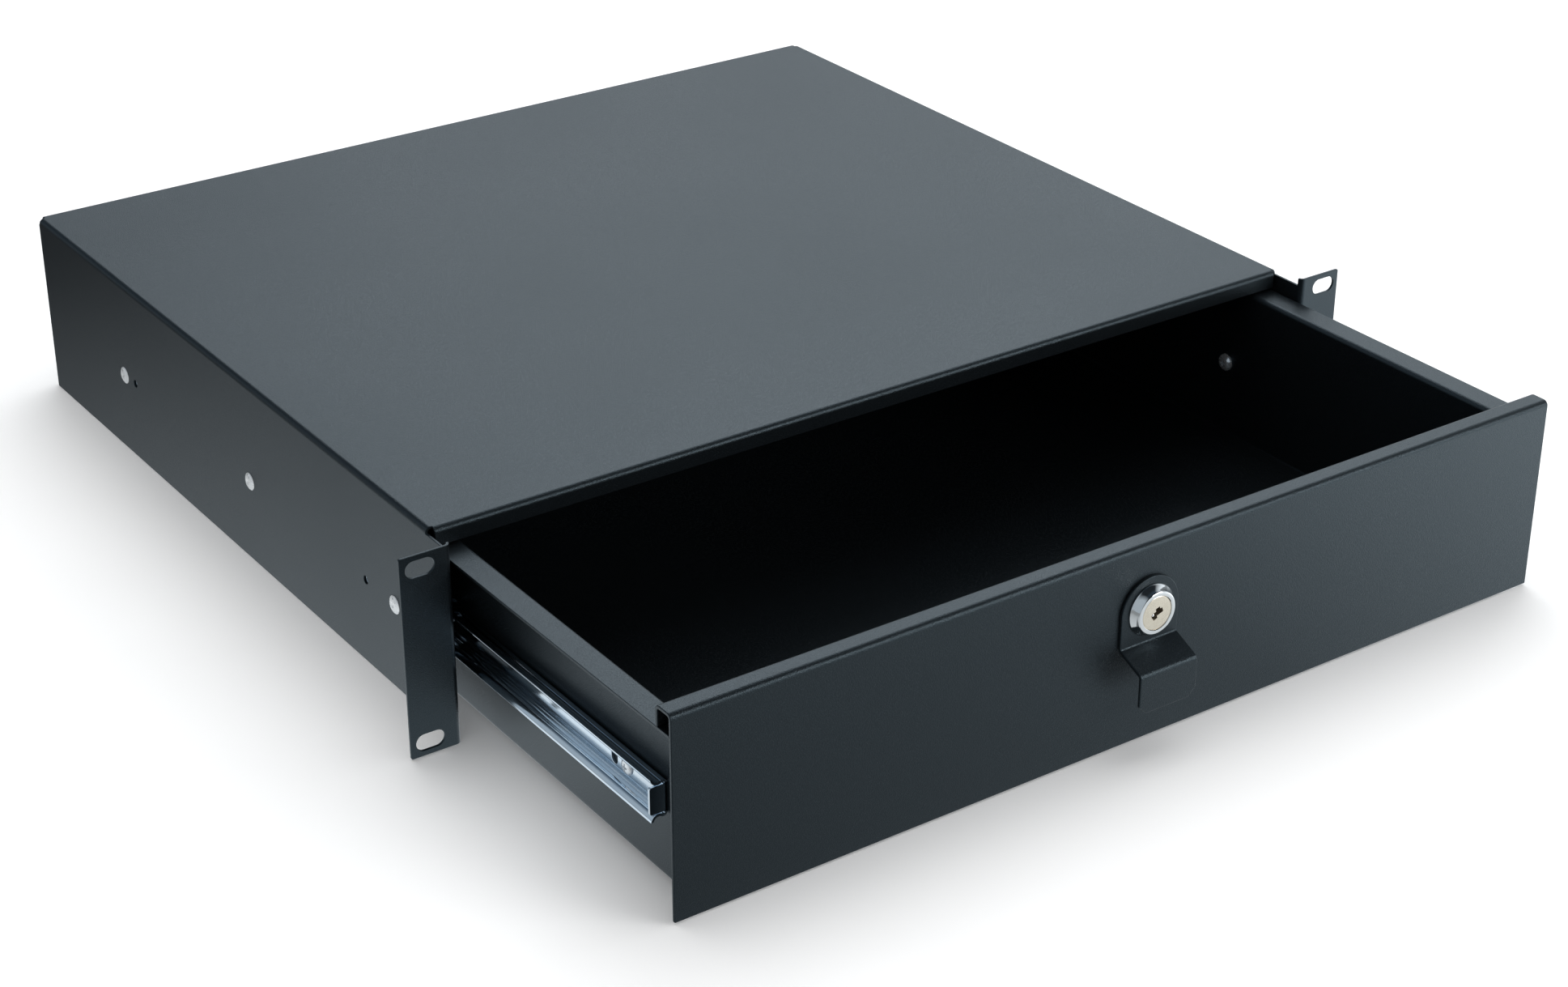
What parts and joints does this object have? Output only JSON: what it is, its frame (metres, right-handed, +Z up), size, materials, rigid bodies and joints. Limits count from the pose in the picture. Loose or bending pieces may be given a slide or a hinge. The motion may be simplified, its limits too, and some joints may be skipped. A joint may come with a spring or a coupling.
{
  "type": "sliding rack drawer",
  "caption": "Two-unit sliding drawer for a 19-inch rack: folded sheet casing with slotted ears, tray on ball-bearing slides, front panel with cam lock and bent pull.",
  "frame": {"origin": "middle of the four rack slots, on the front face of the ears", "axes": "+X to the right seen from the front, +Y to the back, +Z up; the drawer opens towards -Y and rests 149 mm open"},
  "size_m": [0.4826, 0.5633, 0.0882],
  "materials": {
    "powder_coat": "satin",
    "zinc_plate": "satin",
    "rivet_aluminium": "satin",
    "ball_steel": "polished",
    "lock_chrome": "polished",
    "plug_nickel": "satin"
  },
  "bodies": {
    "casing": {"casing_shell": "powder_coat", "outer_rail_left": "zinc_plate", "outer_rail_right": "zinc_plate", "rail_rivets_left": "rivet_aluminium", "rail_rivets_right": "rivet_aluminium"},
    "drawer": {"drawer_tray": "powder_coat", "tray_front_wall": "powder_coat", "tray_rear_wall": "powder_coat", "front_panel": "powder_coat", "pull_plate": "powder_coat", "lock_barrel": "lock_chrome", "lock_washer": "zinc_plate", "lock_nut": "zinc_plate", "inner_rail_left": "zinc_plate", "inner_rail_right": "zinc_plate", "rail_screws_left": "zinc_plate", "rail_screws_right": "zinc_plate", "rail_nuts_left": "zinc_plate", "rail_nuts_right": "zinc_plate"},
    "lock": {"lock_plug": "plug_nickel", "lock_cam": "zinc_plate", "cam_washer": "zinc_plate", "cam_screw": "zinc_plate"},
    "cage_left": {"ball_cage_left": "zinc_plate", "slide_balls_left": "ball_steel"},
    "cage_right": {"ball_cage_right": "zinc_plate", "slide_balls_right": "ball_steel"}
  },
  "joints": [
    {"name": "drawer_slide", "type": "slide", "parent": "casing", "child": "drawer", "axis": [0, -1, 0], "range_m": [-0.149, 0.111]},
    {"name": "cage_slide_left", "type": "slide", "parent": "casing", "child": "cage_left", "axis": [0, -1, 0], "range_m": [-0.0745, 0.0555]},
    {"name": "cage_slide_right", "type": "slide", "parent": "casing", "child": "cage_right", "axis": [0, -1, 0], "range_m": [-0.0745, 0.0555]},
    {"name": "lock_turn", "type": "hinge", "parent": "drawer", "child": "lock", "pos_m": [0, -0.149, 0.015], "axis": [0, -1, 0], "range_deg": [0, 90]}
  ],
  "couplings": [
    {"joint": "cage_slide_left", "follows": "drawer_slide", "ratio": 0.5},
    {"joint": "cage_slide_right", "follows": "drawer_slide", "ratio": 0.5}
  ]
}
